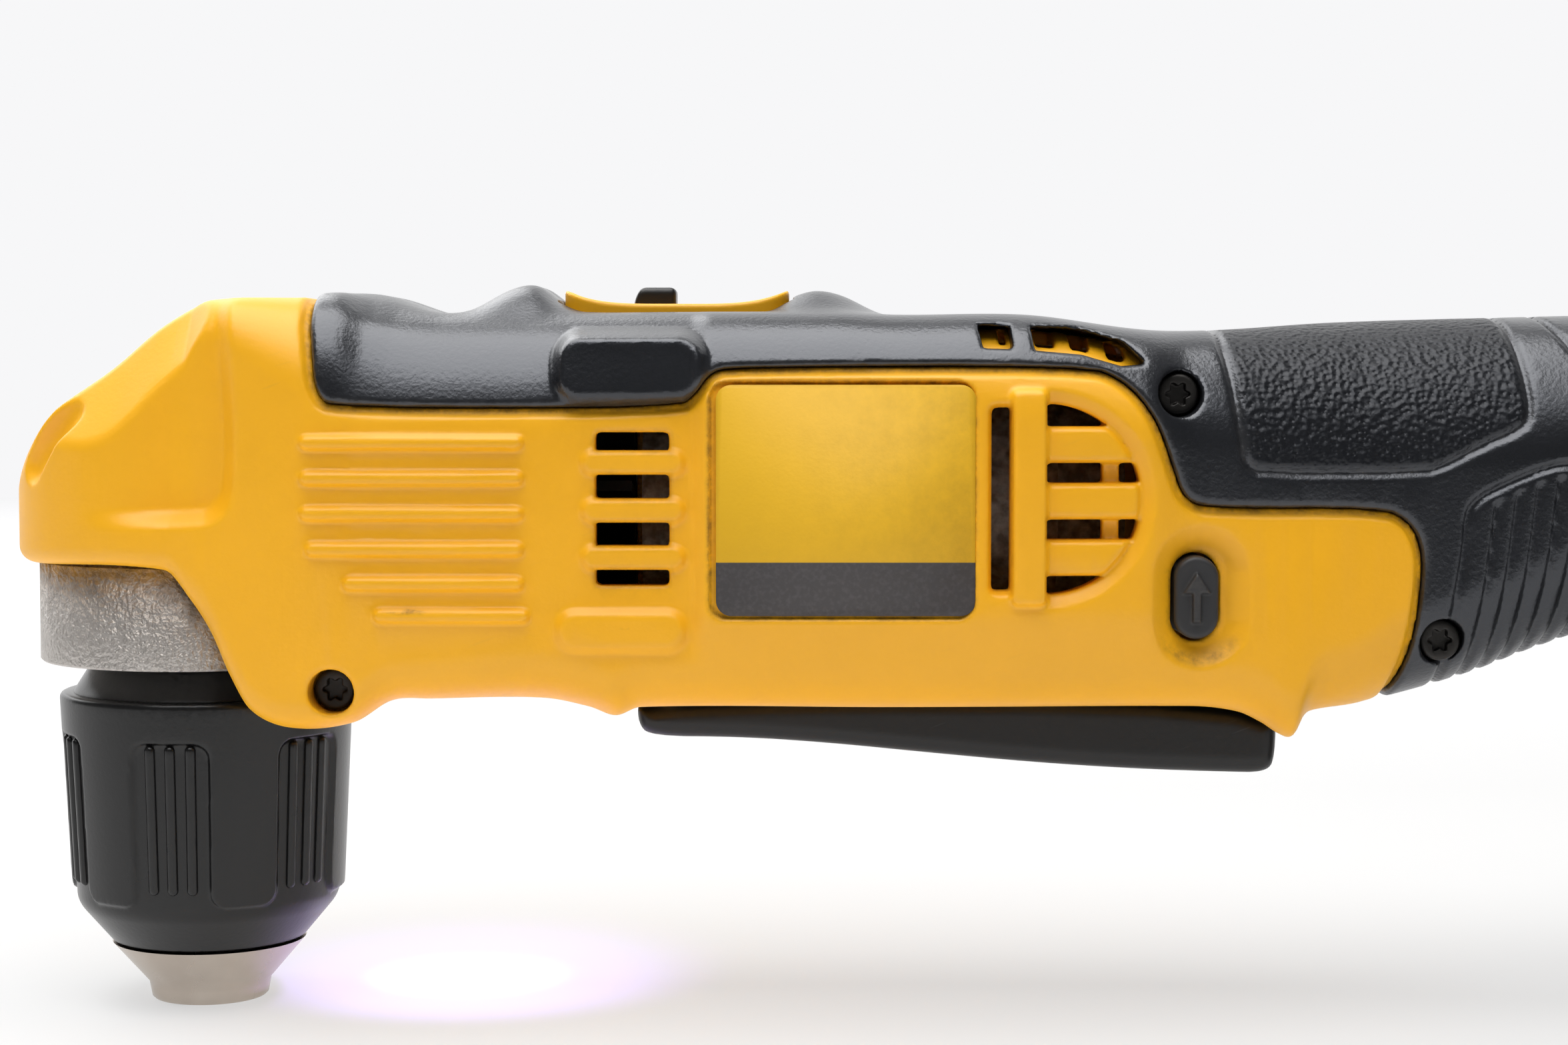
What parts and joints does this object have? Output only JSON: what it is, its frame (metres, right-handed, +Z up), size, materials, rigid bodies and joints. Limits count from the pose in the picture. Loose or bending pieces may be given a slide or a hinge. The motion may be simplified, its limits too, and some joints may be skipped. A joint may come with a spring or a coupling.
{
  "type": "cordless right angle drill",
  "caption": "Cordless drill with a keyless chuck set square to its handle, a paddle trigger, a moulded body with a rubber grip and a slide-on battery pack.",
  "frame": {"origin": "centre of the chuck's nose, on the chuck axis and on the surface that the tool stands on", "axes": "+Z up along the chuck axis, +X along the handle to the battery, the left side faces -Y"},
  "size_m": [0.3003, 0.075, 0.112],
  "materials": {
    "yellow_plastic": "satin moulded plastic, light scuffs",
    "grip_rubber": "fine grained soft rubber",
    "label_film": "bare printed film",
    "black_plastic": "satin moulded plastic",
    "cast_alloy": "tumbled casting",
    "bright_steel": "turned, nickel plated",
    "gear_steel": "hardened, oiled",
    "ferrite": "sintered",
    "copper": "bright",
    "lamp_lens": "clear moulded lens",
    "board": "lacquered board",
    "cell_wrap": "shrink wrap"
  },
  "bodies": {
    "body": {"housing_left": "yellow_plastic", "housing_right": "yellow_plastic", "grip_left": "grip_rubber", "grip_right": "grip_rubber", "label_plate": "label_film", "selector_plate": "yellow_plastic", "gear_case": "cast_alloy", "gear_case_cover": "cast_alloy", "fixed_ring_gear": "gear_steel", "lower_bearing": "bright_steel", "upper_bearing": "bright_steel", "pinion_bearing": "bright_steel", "motor_can": "bright_steel", "motor_magnets": "ferrite", "motor_end_cap": "black_plastic", "motor_brushes": "copper", "motor_bearing": "bright_steel", "switch_module": "black_plastic", "led_lens": "lamp_lens", "led_board": "board", "battery_rail": "black_plastic", "tool_terminals": "copper", "housing_screws": "gear_steel", "trigger_pin": "bright_steel"},
    "chuck": {"spindle": "bright_steel", "bevel_gear": "gear_steel", "chuck_body": "bright_steel", "chuck_screw": "gear_steel"},
    "sleeve": {"chuck_sleeve": "black_plastic", "chuck_nut": "gear_steel", "chuck_rear_cap": "black_plastic"},
    "jaw_1": {"jaw_1": "gear_steel"},
    "jaw_2": {"jaw_2": "gear_steel"},
    "jaw_3": {"jaw_3": "gear_steel"},
    "pinion": {"pinion_shaft": "gear_steel"},
    "low_planet_1": {"low_planet_1": "gear_steel"},
    "low_planet_2": {"low_planet_2": "gear_steel"},
    "low_planet_3": {"low_planet_3": "gear_steel"},
    "carrier": {"sun_carrier": "gear_steel"},
    "high_planet_1": {"high_planet_1": "gear_steel"},
    "high_planet_2": {"high_planet_2": "gear_steel"},
    "high_planet_3": {"high_planet_3": "gear_steel"},
    "rotor": {"motor_shaft": "bright_steel", "armature": "copper", "commutator": "copper", "cooling_fan": "black_plastic"},
    "trigger": {"trigger_paddle": "black_plastic"},
    "direction": {"direction_button": "black_plastic"},
    "selector": {"speed_slider": "black_plastic", "shift_yoke": "gear_steel", "shift_ring": "gear_steel"},
    "battery": {"battery_case": "black_plastic", "battery_cover": "black_plastic", "battery_cells": "cell_wrap", "battery_screws": "gear_steel"},
    "release": {"battery_release": "yellow_plastic"}
  },
  "joints": [
    {"name": "spindle_spin", "type": "hinge", "parent": "body", "child": "chuck", "pos_m": [0, 0, 0.02], "axis": [0, 0, 1], "continuous": true},
    {"name": "sleeve_turn", "type": "hinge", "parent": "chuck", "child": "sleeve", "pos_m": [0, 0, 0.02], "axis": [0, 0, 1], "range_deg": [0, 2520]},
    {"name": "jaw_1_slide", "type": "slide", "parent": "chuck", "child": "jaw_1", "axis": [-0.2588, 0, -0.9659], "range_m": [0, 0.0145]},
    {"name": "jaw_2_slide", "type": "slide", "parent": "chuck", "child": "jaw_2", "axis": [0.1294, -0.2241, -0.9659], "range_m": [0, 0.0145]},
    {"name": "jaw_3_slide", "type": "slide", "parent": "chuck", "child": "jaw_3", "axis": [0.1294, 0.2241, -0.9659], "range_m": [0, 0.0145]},
    {"name": "pinion_spin", "type": "hinge", "parent": "body", "child": "pinion", "pos_m": [0.02, 0, 0.069], "axis": [1, 0, 0], "continuous": true},
    {"name": "low_planet_1_spin", "type": "hinge", "parent": "pinion", "child": "low_planet_1", "pos_m": [0.029, 0, 0.0573], "axis": [1, 0, 0], "continuous": true},
    {"name": "low_planet_2_spin", "type": "hinge", "parent": "pinion", "child": "low_planet_2", "pos_m": [0.029, 0.01013, 0.07485], "axis": [1, 0, 0], "continuous": true},
    {"name": "low_planet_3_spin", "type": "hinge", "parent": "pinion", "child": "low_planet_3", "pos_m": [0.029, -0.01013, 0.07485], "axis": [1, 0, 0], "continuous": true},
    {"name": "carrier_spin", "type": "hinge", "parent": "body", "child": "carrier", "pos_m": [0.036, 0, 0.069], "axis": [1, 0, 0], "continuous": true},
    {"name": "high_planet_1_spin", "type": "hinge", "parent": "carrier", "child": "high_planet_1", "pos_m": [0.045, 0, 0.05925], "axis": [1, 0, 0], "continuous": true},
    {"name": "high_planet_2_spin", "type": "hinge", "parent": "carrier", "child": "high_planet_2", "pos_m": [0.045, 0.00844, 0.07387], "axis": [1, 0, 0], "continuous": true},
    {"name": "high_planet_3_spin", "type": "hinge", "parent": "carrier", "child": "high_planet_3", "pos_m": [0.045, -0.00844, 0.07387], "axis": [1, 0, 0], "continuous": true},
    {"name": "rotor_spin", "type": "hinge", "parent": "body", "child": "rotor", "pos_m": [0.09, 0, 0.069], "axis": [1, 0, 0], "continuous": true},
    {"name": "trigger_pull", "type": "hinge", "parent": "body", "child": "trigger", "pos_m": [0.06432, 0, 0.04498], "axis": [0, -1, 0], "range_deg": [0, 5], "stiffness_Nm_per_rad": 2, "springref_deg": -11.46},
    {"name": "direction_push", "type": "slide", "parent": "body", "child": "direction", "axis": [0, 1, 0], "range_m": [-0.0025, 0.0025]},
    {"name": "speed_shift", "type": "slide", "parent": "body", "child": "selector", "axis": [1, 0, 0], "range_m": [0, 0.007]},
    {"name": "battery_slide", "type": "slide", "parent": "body", "child": "battery", "axis": [0, 0, -1], "range_m": [0, 0.095]},
    {"name": "release_press", "type": "slide", "parent": "battery", "child": "release", "axis": [0, 0, 1], "range_m": [0, 0.003], "stiffness_N_per_m": 600, "springref_m": -0.001}
  ],
  "couplings": [
    {"joint": "jaw_1_slide", "follows": "sleeve_turn", "m_per_rad": 0.00032968},
    {"joint": "jaw_2_slide", "follows": "sleeve_turn", "m_per_rad": 0.00032968},
    {"joint": "jaw_3_slide", "follows": "sleeve_turn", "m_per_rad": 0.00032968},
    {"joint": "pinion_spin", "follows": "spindle_spin", "ratio": 2},
    {"joint": "low_planet_1_spin", "follows": "spindle_spin", "ratio": -8},
    {"joint": "low_planet_2_spin", "follows": "spindle_spin", "ratio": -8},
    {"joint": "low_planet_3_spin", "follows": "spindle_spin", "ratio": -8},
    {"joint": "carrier_spin", "follows": "spindle_spin", "ratio": 6},
    {"joint": "high_planet_1_spin", "follows": "spindle_spin", "ratio": -16},
    {"joint": "high_planet_2_spin", "follows": "spindle_spin", "ratio": -16},
    {"joint": "high_planet_3_spin", "follows": "spindle_spin", "ratio": -16},
    {"joint": "rotor_spin", "follows": "spindle_spin", "ratio": 30}
  ]
}
